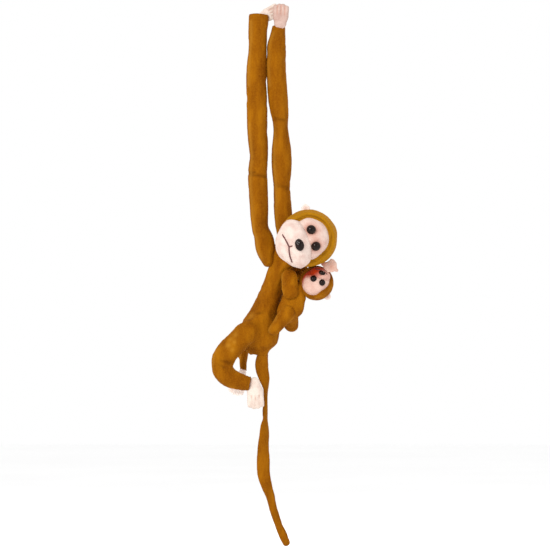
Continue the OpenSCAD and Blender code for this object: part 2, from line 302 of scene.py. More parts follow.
def ball(centre, radii, axes=np.eye(3), rings=14, sides=24):
    """An ellipsoid whose poles lie on its third axis. Axes are rows."""
    points, rows = [], []
    for i in range(rings + 1):
        polar = math.pi * i / rings
        count = sides if 0 < i < rings else 1
        rows.append(list(range(len(points), len(points) + count)))
        for k in range(count):
            t = 2 * math.pi * k / sides
            across = math.sin(polar)
            way = np.array([across * math.cos(t), across * math.sin(t), math.cos(polar)])
            points.append(np.array(centre) + (way * np.array(radii)) @ np.array(axes))
    return np.array(points), ring_faces(rows, sides)


def joined(name, shapes, material):
    points, faces, start = [], [], 0
    for some_points, some_faces in shapes:
        points.append(some_points)
        faces += [tuple(i + start for i in f) for f in some_faces]
        start += len(some_points)
    return new_object(name, np.vstack(points), faces, material)


def stuff(obj, pinned, cap, slack):
    """Fills a skin by cloth simulation. It swells between pinned points, and none moves more than cap."""
    before = points_of(obj)
    group = obj.vertex_groups.new(name="seams")
    group.add([int(i) for i in np.flatnonzero(pinned)], 1.0, "REPLACE")
    modifier = obj.modifiers.new("stuffing", "CLOTH")
    cloth = modifier.settings
    cloth.quality = 6
    cloth.mass = 0.15
    cloth.tension_stiffness = 12
    cloth.compression_stiffness = 12
    cloth.shear_stiffness = 5
    cloth.bending_stiffness = 0.3
    cloth.use_pressure = True
    cloth.uniform_pressure_force = PRESSURE
    cloth.shrink_min = -slack
    cloth.vertex_group_mass = "seams"
    cloth.effector_weights.gravity = 0
    modifier.point_cache.frame_start = 1
    modifier.point_cache.frame_end = STUFFING_FRAMES
    for number in range(1, STUFFING_FRAMES + 1):
        scene.frame_set(number)
    depsgraph = bpy.context.evaluated_depsgraph_get()
    after = points_of(obj.evaluated_get(depsgraph))
    obj.modifiers.clear()
    obj.vertex_groups.clear()
    scene.frame_set(1)
    step = after - before
    length = np.linalg.norm(step, axis=1)
    share = cap * np.tanh(length / cap) / np.maximum(length, 1e-9)
    move_points(obj, before + step * share[:, None])


# ---- materials


class Nodes:
    """A material's node tree, with one short call for each node and link."""

    def __init__(self, name):
        self.material = bpy.data.materials.new(name)
        self.material.use_nodes = True
        self.tree = self.material.node_tree
        self.shader = self.tree.nodes["Principled BSDF"]

    def add(self, kind, **settings):
        node = self.tree.nodes.new("ShaderNode" + kind)
        for key, value in settings.items():
            setattr(node, key, value)
        return node

    def link(self, out, into):
        self.tree.links.new(out, into)

    def set(self, **values):
        for key, value in values.items():
            self.shader.inputs[key.replace("_", " ")].default_value = value

    def noise(self, scale, detail, stretch=(1, 1, 1)):
        where = self.add("TexCoord")
        mapping = self.add("Mapping")
        mapping.inputs["Scale"].default_value = stretch
        made = self.add("TexNoise")
        made.inputs["Scale"].default_value = scale
        made.inputs["Detail"].default_value = detail
        self.link(where.outputs["Object"], mapping.inputs["Vector"])
        self.link(mapping.outputs["Vector"], made.inputs["Vector"])
        return made.outputs["Fac"]

    def ramp(self, value, stops):
        made = self.add("ValToRGB")
        elements = made.color_ramp.elements
        for element, (position, colour) in zip(elements, (stops[0], stops[-1])):
            element.position = position
            element.color = (*colour, 1)
        for position, colour in stops[1:-1]:
            elements.new(position).color = (*colour, 1)
        self.link(value, made.inputs["Fac"])
        return made.outputs["Color"]

    def mix(self, share, a, b):
        """Mixes two colours; each is a colour or an output, and share is a number or an output."""
        made = self.add("Mix", data_type="RGBA")
        for key, value in ((0, share), (6, a), (7, b)):
            if hasattr(value, "is_linked"):
                self.link(value, made.inputs[key])
            else:
                made.inputs[key].default_value = value if key == 0 else (*value, 1)
        return made.outputs[2]

    def painted(self, name, share):
        made = self.add("Attribute", attribute_type="GEOMETRY", attribute_name=name)
        scaled = self.add("Math", operation="MULTIPLY")
        scaled.inputs[1].default_value = share
        self.link(made.outputs["Fac"], scaled.inputs[0])
        return scaled.outputs[0]

    def bump(self, height, distance, strength, under=None):
        made = self.add("Bump")
        made.inputs["Distance"].default_value = distance
        made.inputs["Strength"].default_value = strength
        self.link(height, made.inputs["Height"])
        if under is not None:
            self.link(under, made.inputs["Normal"])
        return made.outputs["Normal"]

    def finish(self, colour, normal=None, roughness=None):
        self.link(colour, self.shader.inputs["Base Color"])
        if normal is not None:
            self.link(normal, self.shader.inputs["Normal"])
        if roughness is not None:
            self.link(roughness, self.shader.inputs["Roughness"])
        return self.material


NAP_DARK = (0.15, 0.040, 0.0004)
NAP_MIDDLE = (0.21, 0.064, 0.0008)
NAP_LIGHT = (0.30, 0.106, 0.002)
TUFT_TIPS = (0.31, 0.115, 0.003)
HIGHLIGHT_GOLD = (0.40, 0.186, 0.006)
CREASE_SHADE_BROWN = (0.05, 0.011, 0.0002)
PAINTED_HIGHLIGHT_BROWN = (0.42, 0.19, 0.018)


def brown_plush(name, stretch=(1, 1, 0.3), gold_highlight=0.0):
    """Short golden-brown pile: nap streaks that run down the limb, darker roots and a golden sheen, with
    painted shade in its creases and painted golden highlights.
    """
    n = Nodes(name)
    nap = n.noise(70, 3, stretch)
    tufts = n.noise(420, 2)
    fibres = n.noise(1500, 1)
    colour = n.ramp(nap, [(0.3, NAP_DARK), (0.5, NAP_MIDDLE), (0.72, NAP_LIGHT)])
    colour = n.mix(n.ramp(tufts, [(0.35, (0, 0, 0)), (0.75, (0.4, 0.4, 0.4))]), colour, TUFT_TIPS)
    # painted highlight: a share of golden highlight colour laid evenly over the whole piece
    colour = n.mix(gold_highlight, colour, HIGHLIGHT_GOLD)
    # painted shade: darker brown in creases, seams and grooves, and on the baby's hood under the mother's
    # head
    colour = n.mix(n.painted("crease", 0.62), colour, CREASE_SHADE_BROWN)
    # painted highlight: golden on the lit edges and patches that the rim attribute marks
    colour = n.mix(n.painted("rim", 0.7), colour, PAINTED_HIGHLIGHT_BROWN)
    normal = n.bump(tufts, 0.0009, 0.55)
    normal = n.bump(fibres, 0.0004, 0.5, normal)
    n.set(Roughness=0.85, Specular_IOR_Level=0.04, Sheen_Weight=0.08, Sheen_Roughness=0.4)
    n.set(Sheen_Tint=(1.0, 0.55, 0.08, 1))
    return n.finish(colour, normal)


def pale_plush(name, base, shade, blush):
    """Brushed pale plush with painted pinkish shade in its folds, and a painted tint that is partly pink
    airbrush colour and partly painted shade.
    """
    n = Nodes(name)
    nap = n.noise(90, 3)
    tufts = n.noise(520, 2)
    fibres = n.noise(1700, 1)
    colour = n.ramp(nap, [(0.3, shade), (0.62, base)])
    # painted tint: partly pink airbrush colour, partly painted shade
    colour = n.mix(n.painted("blush", 1.0), colour, blush)
    # painted shade in creases, seams and grooves, and a darker airbrushed ring round each of the mother's
    # eyes
    colour = n.mix(n.painted("crease", 0.7), colour, (0.42, 0.17, 0.11))
    normal = n.bump(tufts, 0.0008, 0.4)
    normal = n.bump(fibres, 0.0003, 0.4, normal)
    n.set(Roughness=0.9, Specular_IOR_Level=0.08, Sheen_Weight=0.08, Sheen_Roughness=0.5)
    n.set(Sheen_Tint=(1.0, 0.86, 0.8, 1))
    return n.finish(colour, normal)


def glossy_plastic(name, base, glint):
    n = Nodes(name)
    cloud = n.noise(160, 2)
    scuffs = n.noise(900, 2, (1, 1, 0.15))
    colour = n.ramp(cloud, [(0.35, base), (0.75, glint)])
    rough = n.add("MapRange")
    rough.inputs["To Min"].default_value = 0.05
    rough.inputs["To Max"].default_value = 0.16
    n.link(scuffs, rough.inputs["Value"])
    n.set(Specular_IOR_Level=0.14, Coat_Weight=0.06, Coat_Roughness=0.02)
    return n.finish(colour, n.bump(scuffs, 0.00002, 0.2), rough.outputs["Result"])


def spun(name, base, light, scale=900):
    """Thread, filling or woven tape: fine strands."""
    n = Nodes(name)
    strands = n.noise(scale, 2, (1, 1, 0.2))
    colour = n.ramp(strands, [(0.35, base), (0.7, light)])
    n.set(Roughness=0.7, Sheen_Weight=0.2)
    return n.finish(colour, n.bump(strands, 0.0003, 0.6))


BROWN = brown_plush("brown_plush")
# the hood is a lighter copy of the brown plush, with painted golden highlight over it
HOOD_BROWN = brown_plush("hood_plush", (1, 1, 0.6), 0.6)
BABY_BROWN = brown_plush("baby_brown_plush", (1, 1, 0.6))
FACE = pale_plush("face_plush", (0.67, 0.54, 0.48), (0.55, 0.39, 0.34), (0.48, 0.19, 0.13))
# the baby face's deep red tint colour is painted shade
BABY_FACE = pale_plush("baby_face_plush", (0.62, 0.42, 0.35), (0.53, 0.32, 0.26), (0.40, 0.030, 0.002))
HAND = pale_plush("hand_plush", (0.50, 0.36, 0.31), (0.40, 0.25, 0.21), (0.32, 0.12, 0.08))
FOOT = pale_plush("foot_plush", (0.66, 0.57, 0.50), (0.56, 0.44, 0.38), (0.45, 0.24, 0.18))
# painted light: the far foot is a lighter copy of the foot plush, to lift the shadow it stands in
LIT_FAR_FOOT = pale_plush("far_foot_lit_plush", (0.90, 0.80, 0.74), (0.82, 0.68, 0.61), (0.60, 0.36, 0.28))
# the ears are shaded and lit copies of one plush: painted shade on the ears between the heads and against
# the hood, painted light on the outer ears
SHADED_EAR = pale_plush("shaded_ear_plush", (0.62, 0.42, 0.35), (0.54, 0.33, 0.27), (0.42, 0.16, 0.10))
LIT_EAR = pale_plush("lit_ear_plush", (0.78, 0.66, 0.60), (0.68, 0.52, 0.46), (0.56, 0.32, 0.26))
BLACK = glossy_plastic("eye_plastic", (0.004, 0.0015, 0.001), (0.016, 0.005, 0.003))
THREAD = spun("mouth_thread", (0.05, 0.003, 0.002), (0.12, 0.010, 0.007))
WASHER = spun("washer_plastic", (0.72, 0.72, 0.70), (0.84, 0.84, 0.82), 200)
TAPE = spun("hook_and_loop", (0.70, 0.69, 0.65), (0.90, 0.89, 0.86), 1400)

# ---- what pieces share


def stands_for(obj, nodes, rides_on=None):
    """Hides the CAD nodes that a piece replaces, and sets the body it rides on."""
    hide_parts(*nodes)
    if rides_on:
        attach(obj, rides_on)


top = pivot["shoulders"] * np.array([0, 1, 1])


def body(x, y, z):
    """A point of the body, in mm from the middle of the shoulder line."""
    return top + mm(x, y, z)


def painted_edge_highlight(obj, strength):
    """Paints a golden highlight where the pile turns away on the left side and would catch the light."""
    slope = np.clip((-normals_of(obj)[:, 0] - 0.62) / 0.3, 0, 1)
    paint(obj, "rim", strength * slope)


def painted_highlight_patches(obj, patches):
    """Painted highlights in lighter patches: x, y, z and reach in mm from the shoulder line."""
    co = points_of(obj)
    for x, y, z, reach in patches:
        apart = np.linalg.norm(co - body(x, y, z), axis=1) / (reach * MM)
        paint(obj, "rim", 0.6 * np.exp(-(apart**2)))


# ---- arms


def along_arm(wrist, elbow, shoulder, way):
    """A point of an arm's middle line: way is 0 at the wrist, 1 at the elbow and 2 at the shoulder."""
    return wrist + (elbow - wrist) * way if way <= 1 else elbow + (shoulder - elbow) * (way - 1)


def arm_rows(line, knots):
    """Rows down an arm. A knot is the way along it, then shift, half width and half depth in mm."""
    rows = []
    for way, shift, wide, deep in knots:
        rows.append(np.r_[along_arm(*line, way) + mm(shift, 0, 0), mm(wide, deep), 0])
    return smooth_rows(rows, 0.005)


LEFT_ARM = [
    (-0.078, 1.0, 15.4, 9.0), (-0.03, 0.4, 15.2, 12.5), (0.12, -0.8, 15.0, 14.2),
    (0.34, -2.8, 16.0, 14.6), (0.67, -0.8, 15.6, 14.6), (0.83, 1.2, 14.9, 14.2),
    (0.96, -0.2, 15.2, 14.4), (1.36, -0.8, 15.0, 14.2), (1.64, -1.4, 13.8, 13.8),
    (1.81, 2.6, 16.0, 14.6), (1.95, 3.8, 15.6, 14.4), (2.06, 5.4, 12.8, 14.2),
    (2.14, 7.4, 9.6, 13.4),
]
RIGHT_ARM = [
    (-0.006, 1.6, 10.6, 8.0), (0.03, 0.8, 11.2, 10.5), (0.12, -2.6, 14.5, 12.8),
    (0.2, -3.4, 15.1, 13.2), (0.27, -3.7, 16.0, 13.6), (0.454, -2.1, 15.7, 14.0),
    (0.651, 0.8, 12.9, 13.4), (0.805, 1.0, 15.2, 14.2), (0.9, 1.0, 15.5, 14.2),
    (1.1, 0.1, 13.2, 13.2), (1.44, 0.5, 13.8, 13.6), (1.6, 1.0, 13.3, 13.8),
    (1.7, 1.8, 12.4, 13.8), (1.8, 2.4, 11.6, 13.8), (2.0, 1.0, 12.5, 13.8),
]


def ring_path(at, radius, start, end, tilt):
    """Points round a limb at one height, from angle start to end (0 is +X, 90 is far, -90 is near)."""
    path = []
    for t in np.radians(np.linspace(start, end, 10)):
        path.append(at + np.array([radius * math.cos(t), radius * math.sin(t), tilt * math.cos(t)]))
    return path


def arm(side, knots, creases):
    """A stuffed arm of two pieces that meet in a straight cut halfway down the forearm."""
    wrist, elbow = pivot["wrist_" + side], pivot["elbow_" + side]
    shoulder = pivot["shoulders"].copy()
    if side == "right":
        shoulder[0] = middle("upper_arm_right_filling")[0] * 2 - elbow[0]
    line = (wrist, elbow, shoulder)
    rows = arm_rows(line, knots)
    split = int(np.argmin(abs(rows[:, 2] - (wrist[2] + elbow[2]) / 2)))
    made = []
    for part, some in (("lower", rows[: split + 1]), ("upper", rows[split:])):
        if part == "lower":
            some = domed(some, 0.0025, None, 4, 0.6)
        else:
            some = domed(some, None, 0.007, 5, 0.7)
        obj = new_object(f"arm_{side}_{part}", *tube(some, 28), BROWN)
        co = points_of(obj)
        cut = rows[split][2]
        fixed = abs(co[:, 2] - cut) < 0.004
        fixed |= co[:, 2] > rows[0][2] - 0.006
        fixed |= co[:, 2] < rows[-1][2] + 0.003
        for way, start, end, tilt, _depth in creases:
            fixed |= near_path(co, ring_path(along_arm(*line, way), 0.014, start, end, tilt)) < 0.004
        stuff(obj, fixed, 0.0012, 0.012)
        mark_cut(obj, cut)
        subdivide(obj)
        mark_cut(obj, cut)
        keep = points_of(obj)
        edge = abs(keep[:, 2] - cut) < 0.0035
        lumps(obj, 0.0011, 0.03, 1 if side == "left" else 2, (1, 1, 1.6))
        lumps(obj, PILE, 0.004, 5)
        now = points_of(obj)
        now[edge] = keep[edge]
        move_points(obj, now)
        # painted shade in the elbow creases
        for way, start, end, tilt, depth in creases:
            if (way < 0.5) == (part == "lower"):
                path = ring_path(along_arm(*line, way), 0.0145, start, end, tilt)
                press(obj, path, depth * MM, 0.0024)
        # painted shade along the seam
        seam = [r[:3] + np.array([r[3], 0.004, 0]) for r in some[6:-6]]
        press(obj, seam, 0.0007, 0.0016, 0.35)
        # painted highlight: a golden line down the arm's near left side
        highlight_line = [r[:3] - np.array([0.75 * r[3], 0.6 * r[4], 0]) for r in some[6:-6]]
        paint(obj, "rim", 0.55 * np.exp(-((near_path(points_of(obj), highlight_line) / 0.0035) ** 2)))
        made.append(obj)
    lower, upper = made
    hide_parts(f"forearm_{side}_plush", f"forearm_{side}_filling")
    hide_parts(f"upper_arm_{side}_plush", f"upper_arm_{side}_filling")
    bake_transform(lower)
    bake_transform(upper)


def mark_cut(obj, height):
    """Sharp, creased edges round the straight cut, so that its cap neither rounds nor shades the skin."""
    work = bmesh.new()
    work.from_mesh(obj.data)
    crease = work.edges.layers.float.get("crease_edge") or work.edges.layers.float.new("crease_edge")
    work.normal_update()
    for edge in work.edges:
        if all(abs(v.co.z - height) < 0.002 for v in edge.verts) and len(edge.link_faces) == 2:
            flat = [abs(f.normal.z) > 0.8 for f in edge.link_faces]
            if any(flat) and not all(flat):
                edge.smooth = False
                edge[crease] = 1.0
    work.to_mesh(obj.data)
    work.free()


# a crease is the way down the arm, the angles that it starts and ends at, its tilt, and its depth in mm
LEFT_CREASES = [
    (0.94, 120, 250, 0.002, 1.2),
    (0.965, -150, -20, -0.002, 0.9),
]
RIGHT_CREASES = [
    (1.08, -170, -30, -0.002, 1.2),
    (1.13, -60, 60, 0.002, 1.0),
    (0.145, -50, 60, 0.001, 1.4),
    (0.6, -120, -60, -0.002, 0.5),
]
arm("left", LEFT_ARM, LEFT_CREASES)
arm("right", RIGHT_ARM, RIGHT_CREASES)

# ---- hands and feet


def mitt(node, joint, shift, along, size, material, slot, rides_on, heel=0.4):
    """A hand or foot with four stuffed digits, thin along Y.

    It starts at the joint, shifted in mm, and points along. size is its length, width and thickness.
    """
    base = pivot[joint] + mm(*shift)
    length, width, thick = size
    along = unit(along)
    flat = np.array([0.0, 1.0, 0.0])
    across = np.cross(flat, along)
    digit = width / 8 + 0.0004
    pitch = (width - 2 * digit) / 3
    axes = (across, flat, along)
    shapes = [
        ball(base + along * length * 0.4, (width * 0.5, thick * 0.5, length * 0.36), axes),
        ball(base + along * length * 0.13, (width * heel, thick * 0.46, length * 0.26), axes),
    ]
    for i in range(4):
        side = across * (i - 1.5) * pitch
        tip = length - digit * 1.1 - 0.0025 * abs(i - 1.5)
        start = base + side * 0.92 + along * length * 0.42
        end = base + side + along * tip
        shapes.append(capsule(start, end, digit * 1.1, digit * 1.05, 1.25, 14, flat))
    obj = joined(node + "_plush", shapes, material)
    remesh(obj, 0.0013)
    relax(obj, 3)
    # painted shade in the grooves between the digits
    for i in range(3):
        side = across * (i - 1) * pitch
        for face in (-1, 1):
            line = []
            for t in (0.5, 0.95):
                way = base + side * (0.9 + 0.1 * t) + along * length * t
                line.append(way + flat * face * thick * 0.4)
            press(obj, line, 0.0007, 0.0011, 0.75)
    lumps(obj, PILE, 0.003, 3)
    stands_for(obj, [node], rides_on)


hands = ("blush_plush", "clasped_hands")
size = (0.0395, 0.0215, 0.0095)
# painted light: the left hand takes the paler foot plush, lighter than the right hand's, for the glare on
# it
mitt("hand_left", "wrist_left", (1, 5.5, 13), (0.883, 0, 0.469), size, FOOT, *hands)
size = (0.0367, 0.025, 0.0095)
mitt("hand_right", "wrist_right", (4, -5.5, 1.8), (0.05, 0, 0.998), size, HAND, *hands)
size = (0.0455, 0.0262, 0.0145)
slot = "pale_plush"
mitt("foot_near", "ankle_near", (9.2, 0, 3), (0.06, 0, -1), size, FOOT, slot, "foot_near", 0.36)
size = (0.0415, 0.0250, 0.0135)
mitt("foot_far", "ankle_far", (0, 0, -6), (-0.32, 0, -0.95), size, LIT_FAR_FOOT, slot, "foot_far", 0.26)

# ---- trunk


def trunk():
    """The trunk: a tube down the spine, fuller where the neck, hips, tail and shoulders join it."""
    spine = [
        (15, 3, -4, 13, 12),
        (11, 4, -18, 19, 17),
        (2, 4, -45, 19.5, 19),
        (-8, 4, -72, 20.5, 20.5),
        (-17, 4, -98, 24, 23.5),
        (-20, 4, -122, 27.5, 27),
        (-19, 4, -137, 25, 25),
    ]
    rows = smooth_rows([np.r_[body(*r[:3]), mm(*r[3:]), 0] for r in spine], 0.006)
    neck_end = pivot["neck"] + mm(-14, 12, -15)
    shapes = [
        tube(domed(rows, 0.009, 0.015), 28),
        capsule(body(12, -8, -28), neck_end, 0.0105, 0.0105),
        ball(pivot["hip_near"] + mm(4, 2, 4), mm(18, 17, 18)),
        ball(pivot["hip_far"] + mm(3, -3, 3), mm(15, 15, 16)),
        ball(pivot["tail_root"] + mm(0, 0, 4), mm(10, 8, 9)),
        ball(body(-37, 10, -146), mm(11, 12, 12)),
        ball(body(-1, 3, -2), mm(11, 11, 17)),
        ball(body(22, 5, -24), mm(13, 12, 13)),
        ball(body(35, 6, -20), mm(12, 10, 10)),
        ball(body(44, -3, -25), mm(8, 7.5, 8)),
        ball(body(-30.5, 4, -101), mm(14, 15, 17)),
        ball(body(-37.5, 2, -107), mm(14.5, 14, 12)),
        ball(body(-5.5, 2, -129), mm(13, 13, 12)),
    ]
    obj = joined("trunk_plush_skin", shapes, BROWN)
    remesh(obj, 0.0042)
    relax(obj, 7)
    co = points_of(obj)
    seam = [r[:3] + np.array([0, -r[4], 0]) for r in rows[3:]]
    fixed = near_path(co, seam) < 0.003
    fixed |= near_path(co, [neck_end] * 2) < 0.02
    stuff(obj, fixed, 0.0035, 0.04)
    subdivide(obj)
    lumps(obj, 0.0014, 0.022, 11, (1, 1, 1.5))
    lumps(obj, PILE, 0.004, 12)
    hip = pivot["hip_near"]
    # painted shade in the creases round the near hip and lower trunk
    for path, depth, width in (
        ([hip + mm(-14, -14, 17), hip + mm(0, -20, 14), hip + mm(12, -24, 9)], 1.8, 2.6),
        ([hip + mm(6, -20, -2), hip + mm(14, -22, 4), hip + mm(24, -22, 12)], 1.1, 2.4),
        ([body(-30, -10, -96), body(-22, -20, -94), body(-12, -22, -90)], 0.8, 2.4),
    ):
        press(obj, path, depth * MM, width * MM)
    # painted highlights on the lower trunk
    painted_highlight_patches(obj, [(-38, -14, -98, 6), (-35, -17, -90, 4)])
    stands_for(obj, ["trunk_plush", "trunk_filling"], "trunk")


trunk()

# ---- legs


def leg(side, rows, flats, creases, seam_ring, cut, reach, patches=()):
    """A stuffed leg along rows of x, y, z and radius, in mm from the middle of the shoulder line.

    flats is each row's depth over its width, and seam_ring the radius of the seam above the foot, in mm.
    """
    hip, knee, ankle = (pivot[f"{name}_{side}"] for name in ("hip", "knee", "ankle"))
    path = [np.r_[body(x, y, z), mm(r, r * flat), 0] for (x, y, z, r), flat in zip(rows, flats)]
    shapes = [tube(domed(smooth_rows(path, 0.004), path[0][3], 0.004), 24)]
    obj = joined(f"leg_{side}", shapes, BROWN)
    remesh(obj, 0.0034)
    relax(obj, 5)
    co = points_of(obj)
    # the leg ends in a flat seam, square to the cut's direction and its reach past the ankle
    out = unit(np.array(cut, float))
    end = ankle + out * reach
    past = np.maximum((co - end) @ out, 0)
    move_points(obj, co - past[:, None] * out * 0.85)
    co = points_of(obj)
    fixed = ((co - end) @ out > -0.006) | (np.linalg.norm(co - hip, axis=1) < 0.01)
    for path, _depth in creases:
        fixed |= near_path(co, [knee + mm(*p) for p in path]) < 0.0035
    stuff(obj, fixed, 0.0016, 0.03)
    subdivide(obj)
    lumps(obj, 0.0010, 0.018, 21)
    lumps(obj, PILE, 0.004, 22)
    # painted shade in the knee creases and in the seam above the foot
    for path, depth in creases:
        press(obj, [knee + mm(*p) for p in path], depth * MM, 0.0023)
    press(obj, ring_about(end - out * 0.003, out, seam_ring * MM), 0.0008, 0.0014, 0.5)
    nodes = [f"thigh_{side}_plush", f"thigh_{side}_filling", f"shin_{side}_plush", f"shin_{side}_filling"]
    stands_for(obj, nodes)
    # painted highlight on the left edge and in patches
    painted_edge_highlight(obj, 0.4)
    painted_highlight_patches(obj, patches)
    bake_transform(obj)


def ring_about(centre, axis, radius, steps=16):
    side = unit(np.cross(axis, (0, 1, 0.01)))
    other = np.cross(axis, side)
    turns = np.linspace(0, 2 * math.pi, steps)
    return [centre + radius * (math.cos(t) * side + math.sin(t) * other) for t in turns]


NEAR_CREASES = [
    ([(10, -14, 2), (18, -10, 2), (22, 0, 0)], 2.2),
    ([(-2, -14, 6), (8, -15, 4)], 1.4),
    ([(-12, -6, 4), (-6, -12, 1), (2, -15, -4)], 0.9),
]
FAR_CREASES = [([(0, -14, 0), (8, -12, -4)], 1.6)]
NEAR_LEG = [
    (-46.5, -21, -127, 18.4),
    (-64.5, -21, -145.7, 18.2),
    (-77.6, -21, -161.2, 17.6),
    (-81.4, -21, -174.4, 16.8),
    (-78.6, -21, -186.2, 16.2),
    (-70.6, -21, -194.6, 15.0),
    (-57, -21, -199.4, 13.4),
    (-44, -21, -202.6, 12.0),
    (-37, -21, -204, 12.2),
]
FAR_LEG = [
    (-38, 28.5, -128, 15.5),
    (-46, 46, -138, 14.5),
    (-53, 57, -148, 12.5),
    (-50, 50, -160, 9.0),
    (-49.8, 39, -172, 6.6),
    (-49.8, 32, -189, 6.4),
]
# painted highlights on the near haunch
NEAR_HIGHLIGHTS = [
    (-62, -36, -127, 4.5),
    (-69, -37, -134, 4),
    (-63, -38, -139, 3.5),
    (-72, -37, -144, 4.5),
    (-66, -38, -151, 3.5),
]
near_flat = np.linspace(0.95, 1.0, len(NEAR_LEG))
far_flat = np.linspace(1.0, 1.3, len(FAR_LEG))
leg("near", NEAR_LEG, near_flat, NEAR_CREASES, 10.5, (1, 0, -0.2), 0.0022, NEAR_HIGHLIGHTS)
leg("far", FAR_LEG, far_flat, FAR_CREASES, 6.5, (0, -0.2, -1), 0.0045)

# ---- tail


def tail():
    """A flat strip that twists edge-on below the rump and curls to one side at its end.

    A knot is x and z from the shoulder line, half width and half depth in mm, and twist in degrees.
    """
    knots = [
        (-19, -158, 8.5, 7, 0),
        (-20.6, -178, 10.8, 6, 5),
        (-16, -198, 9.4, 4.6, 30),
        (-13.5, -222, 9.0, 3.6, 78),
        (-14.5, -252, 9.0, 3.8, 72),
        (-15.5, -274, 9.2, 4.2, 48),
        (-17, -298, 9.6, 4.8, 28),
        (-17.5, -322, 9.9, 5.0, 8),
        (-16.5, -342, 9.8, 5.0, 0),
        (-12.5, -364, 8.4, 4.8, 0),
        (-7.5, -380, 7.6, 4.6, 12),
        (-2, -401, 7.4, 4.4, 20),
        (6, -424, 6.6, 4.4, 25),
        (13, -440, 6.6, 4.6, 10),
        (17, -450, 6.0, 4.6, 0),
    ]
    rows = [np.r_[body(x, 3, z), mm(wide, deep), math.radians(twist)] for x, z, wide, deep, twist in knots]
    rows = smooth_rows(rows, 0.0045)
    rows = domed(rows, 0.003, 0.0055)
    obj = new_object("tail_plush_skin", *tube(rows, 20), BROWN)
    co = points_of(obj)
    seam = [r[:3] + np.array([r[3] * math.cos(r[5]), -r[3] * math.sin(r[5]), 0]) for r in rows[6:-6]]
    fixed = near_path(co, seam) < 0.002
    fixed |= co[:, 2] > rows[8][2]
    stuff(obj, fixed, 0.0014, 0.02)
    subdivide(obj)
    lumps(obj, 0.0008, 0.014, 31, (1, 1, 1.6))
    lumps(obj, 0.00025, 0.004, 32)
    # painted shade along the seam
    press(obj, seam, 0.0006, 0.0014, 0.4)
    stands_for(obj, ["tail_upper", "tail_lower"])
    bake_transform(obj)


tail()

# ---- heads

MOTHER_TURN = 74.3  # degrees that a head leans over, clockwise as seen from the front
BABY_TURN = 204.8
HEAD_SIDES = 72
EYE_RADIUS = 0.0073
BABY_EYE_RADIUS = 0.0050
FACE_DEPTH = 0.10  # how far the face's rim lies inside the ball of the head, as a share of its radius


class Head:
    """A head's own axes: right and crown as the face shows them, and front along -Y."""

    def __init__(self, body, centre, turn, size):
        self.body = body
        self.centre = np.array(centre, float)
        angle = math.radians(turn)
        self.right = np.array([math.cos(angle), 0, -math.sin(angle)])
        self.crown = np.array([math.sin(angle), 0, math.cos(angle)])
        self.front = FRONT
        self.size = size

    def at(self, right, front, crown):
        """A point given in mm from the head's middle."""
        return self.centre + MM * (right * self.right + front * self.front + crown * self.crown)

    def toward(self, polar, turn):
        """The unit direction at an angle from the front, and turned about it from right to crown."""
        side = math.cos(turn) * self.right + math.sin(turn) * self.crown
        return math.cos(polar) * self.front + math.sin(polar) * side

    def local(self, co):
        """Right, front and crown of points, in mm from the middle."""
        rel = (co - self.centre) / MM
        return rel @ self.right, rel @ self.front, rel @ self.crown


def polar_skin(name, head, polars, radius, material):
    """A closed skin in rings round the face's axis. radius(polar, turn) is in metres."""
    points, rings = [], []
    for polar in polars:
        count = 1 if polar in (polars[0], polars[-1]) else HEAD_SIDES
        rings.append(list(range(len(points), len(points) + count)))
        for k in range(count):
            turn = 2 * math.pi * k / HEAD_SIDES
            points.append(head.centre + head.toward(polar, turn) * radius(polar, turn))
    return new_object(name, points, ring_faces(rings, HEAD_SIDES), material)


def smooth_step(x, low, high):
    t = min(max((x - low) / (high - low), 0.0), 1.0)
    return t * t * (3 - 2 * t)


def hood(name, head, opening, lip, material):
    """The plush hood: a ball with a rolled edge round a shallow hollow that the face fills."""

    def radius(polar, turn):
        edge = math.asin(min(opening(turn) / head.size, 0.999))
        inside = smooth_step(polar, edge - 0.05, edge + 0.03)
        roll = lip * math.exp(-(((polar - edge - 0.10) / 0.11) ** 2))
        return head.size * (0.86 + 0.14 * inside) + roll

    polars = np.r_[np.linspace(0, 0.5, 5), np.linspace(0.55, 1.4, 34), np.linspace(1.46, math.pi, 24)]
    return polar_skin(name, head, polars, radius, material)


def face_skin(name, head, opening, material):
    """The face: a closed lens in the hood's opening."""

    def radius(polar, turn):
        if polar >= 2:
            return 0.001
        edge = math.asin(min(opening(turn) / head.size, 0.999))
        if polar > edge:
            return head.size * 0.90
        rise = (FACE_DEPTH - 0.02) * head.size * (1 - (polar / edge) ** 4)
        return head.size * (1.0 - FACE_DEPTH) + rise - 0.0006

    edge = max(math.asin(opening(turn) / head.size) for turn in np.linspace(0, 2 * math.pi, 72)) + 0.05
    polars = np.r_[np.linspace(0, edge, 44), np.linspace(edge + 0.02, edge + 0.03, 2), math.pi]
    return polar_skin(name, head, polars, radius, material)


def opening_rim(head, opening):
    """The line where a hood meets its face."""
    rim = []
    for turn in np.linspace(0, 2 * math.pi, 60):
        polar = math.asin(opening(turn) / head.size)
        rim.append(head.centre + head.toward(polar, turn) * head.size * 0.985)
    return rim


def bump_at(turn, where, reach):
    """1 where the turn is, falling off to each side; both in degrees."""
    apart = (math.degrees(turn) - where + 180) % 360 - 180
    return math.exp(-((apart / reach) ** 2))


def mother_opening(turn):
    """The hood's opening: nearly round, pinched where the muzzle meets the brow."""
    wider = 0.0028 * bump_at(turn, -8, 18) + 0.0008 * bump_at(turn, 65, 25)
    return 0.0350 + wider - 0.0015 * bump_at(turn, 190, 14)


# a round spot of tint: airbrush pink round the eyes, pink in an ear's hollow, painted shade at an ear's
# root
def blush_round(obj, place, reach, strength):
    apart = np.linalg.norm(points_of(obj) - place, axis=1)
    paint(obj, "blush", strength * np.exp(-((apart / reach) ** 2)))


